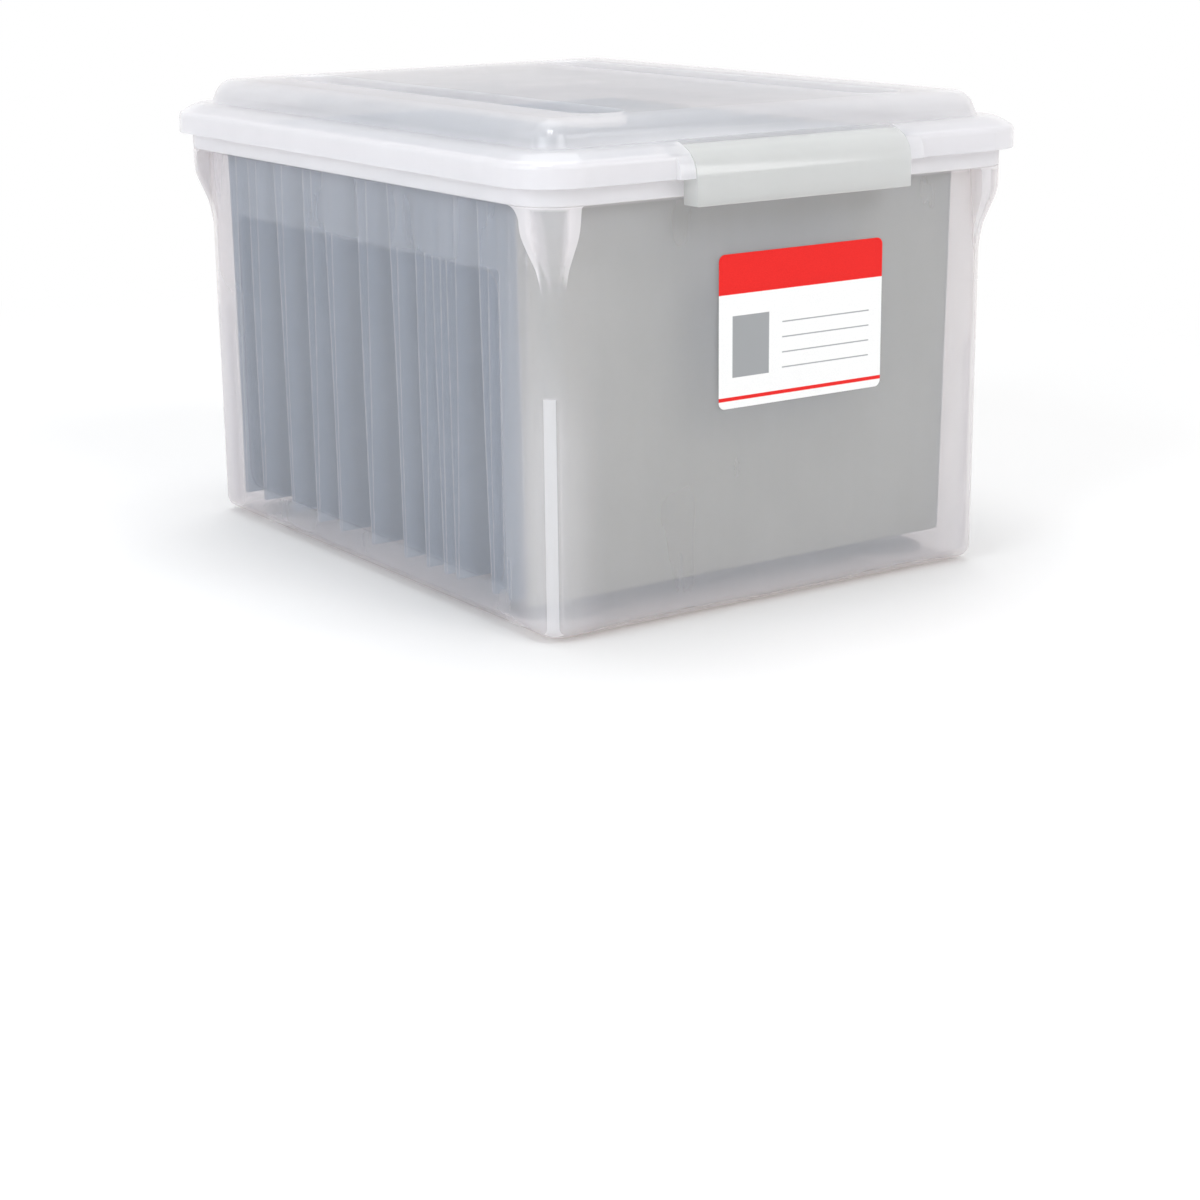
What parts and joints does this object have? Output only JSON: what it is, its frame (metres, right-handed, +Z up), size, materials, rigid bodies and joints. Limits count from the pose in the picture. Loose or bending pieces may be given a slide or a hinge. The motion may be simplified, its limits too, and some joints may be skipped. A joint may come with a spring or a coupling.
{
  "type": "plastic file box",
  "caption": "Translucent plastic file box with a lift-off domed lid, swing latches at its ends, glide discs under the floor and hanging paper folders on built-in rails.",
  "frame": {"origin": "on the ground under the middle of the box", "axes": "+Z up, +X to the right of someone who faces the labelled front, which looks towards -Y"},
  "size_m": [0.347, 0.4446, 0.281],
  "materials": {
    "box_plastic": "frosted translucent polypropylene",
    "lid_plastic": "frosted translucent polypropylene",
    "latch_plastic": "grey-green translucent polypropylene",
    "glide_plastic": "smooth hard plastic",
    "label_paper": "printed paper sticker",
    "folder_paper": "matte card paper",
    "bar_steel": "rolled strip"
  },
  "bodies": {
    "box": {"box_body": "box_plastic", "front_label": "label_paper", "front_left_glide_disc": "glide_plastic", "front_right_glide_disc": "glide_plastic", "rear_left_glide_disc": "glide_plastic", "rear_right_glide_disc": "glide_plastic"},
    "lid": {"lid": "lid_plastic"},
    "front_latch": {"front_latch": "latch_plastic"},
    "rear_latch": {"rear_latch": "latch_plastic"},
    "folder_01": {"folder_01_jacket": "folder_paper", "folder_01_front_bar": "bar_steel", "folder_01_rear_bar": "bar_steel"},
    "folder_02": {"folder_02_jacket": "folder_paper", "folder_02_front_bar": "bar_steel", "folder_02_rear_bar": "bar_steel"},
    "folder_03": {"folder_03_jacket": "folder_paper", "folder_03_front_bar": "bar_steel", "folder_03_rear_bar": "bar_steel"},
    "folder_04": {"folder_04_jacket": "folder_paper", "folder_04_front_bar": "bar_steel", "folder_04_rear_bar": "bar_steel"},
    "folder_05": {"folder_05_jacket": "folder_paper", "folder_05_front_bar": "bar_steel", "folder_05_rear_bar": "bar_steel"},
    "folder_06": {"folder_06_jacket": "folder_paper", "folder_06_front_bar": "bar_steel", "folder_06_rear_bar": "bar_steel"},
    "folder_07": {"folder_07_jacket": "folder_paper", "folder_07_front_bar": "bar_steel", "folder_07_rear_bar": "bar_steel"},
    "folder_08": {"folder_08_jacket": "folder_paper", "folder_08_front_bar": "bar_steel", "folder_08_rear_bar": "bar_steel"},
    "folder_09": {"folder_09_jacket": "folder_paper", "folder_09_front_bar": "bar_steel", "folder_09_rear_bar": "bar_steel"},
    "folder_10": {"folder_10_jacket": "folder_paper", "folder_10_front_bar": "bar_steel", "folder_10_rear_bar": "bar_steel"},
    "folder_11": {"folder_11_jacket": "folder_paper", "folder_11_front_bar": "bar_steel", "folder_11_rear_bar": "bar_steel"},
    "folder_12": {"folder_12_jacket": "folder_paper", "folder_12_front_bar": "bar_steel", "folder_12_rear_bar": "bar_steel"},
    "folder_13": {"folder_13_jacket": "folder_paper", "folder_13_front_bar": "bar_steel", "folder_13_rear_bar": "bar_steel"}
  },
  "joints": [
    {"name": "lid_lift", "type": "slide", "parent": "box", "child": "lid", "axis": [0, 0, 1], "range_m": [0, 0.3]},
    {"name": "front_latch_swing", "type": "hinge", "parent": "lid", "child": "front_latch", "pos_m": [0, -0.2063, 0.2623], "axis": [-1, 0, 0], "range_deg": [0, 110]},
    {"name": "rear_latch_swing", "type": "hinge", "parent": "lid", "child": "rear_latch", "pos_m": [0, 0.2063, 0.2623], "axis": [1, 0, 0], "range_deg": [0, 110]},
    {"name": "folder_01_slide", "type": "slide", "parent": "box", "child": "folder_01", "axis": [0, 1, 0], "range_m": [-0.0135, 0.0024]},
    {"name": "folder_02_slide", "type": "slide", "parent": "box", "child": "folder_02", "axis": [0, 1, 0], "range_m": [-0.0024, 0.0046]},
    {"name": "folder_03_slide", "type": "slide", "parent": "box", "child": "folder_03", "axis": [0, 1, 0], "range_m": [-0.0046, 0.0112]},
    {"name": "folder_04_slide", "type": "slide", "parent": "box", "child": "folder_04", "axis": [0, 1, 0], "range_m": [-0.0112, 0.0016]},
    {"name": "folder_05_slide", "type": "slide", "parent": "box", "child": "folder_05", "axis": [0, 1, 0], "range_m": [-0.0016, 0.0024]},
    {"name": "folder_06_slide", "type": "slide", "parent": "box", "child": "folder_06", "axis": [0, 1, 0], "range_m": [-0.0024, 0.0095]},
    {"name": "folder_07_slide", "type": "slide", "parent": "box", "child": "folder_07", "axis": [0, 1, 0], "range_m": [-0.0095, 0.0112]},
    {"name": "folder_08_slide", "type": "slide", "parent": "box", "child": "folder_08", "axis": [0, 1, 0], "range_m": [-0.0112, 0.0152]},
    {"name": "folder_09_slide", "type": "slide", "parent": "box", "child": "folder_09", "axis": [0, 1, 0], "range_m": [-0.0152, 0.0061]},
    {"name": "folder_10_slide", "type": "slide", "parent": "box", "child": "folder_10", "axis": [0, 1, 0], "range_m": [-0.0061, 0.0126]},
    {"name": "folder_11_slide", "type": "slide", "parent": "box", "child": "folder_11", "axis": [0, 1, 0], "range_m": [-0.0126, 0.0112]},
    {"name": "folder_12_slide", "type": "slide", "parent": "box", "child": "folder_12", "axis": [0, 1, 0], "range_m": [-0.0112, 0.0075]},
    {"name": "folder_13_slide", "type": "slide", "parent": "box", "child": "folder_13", "axis": [0, 1, 0], "range_m": [-0.0075, 0.0101]}
  ]
}
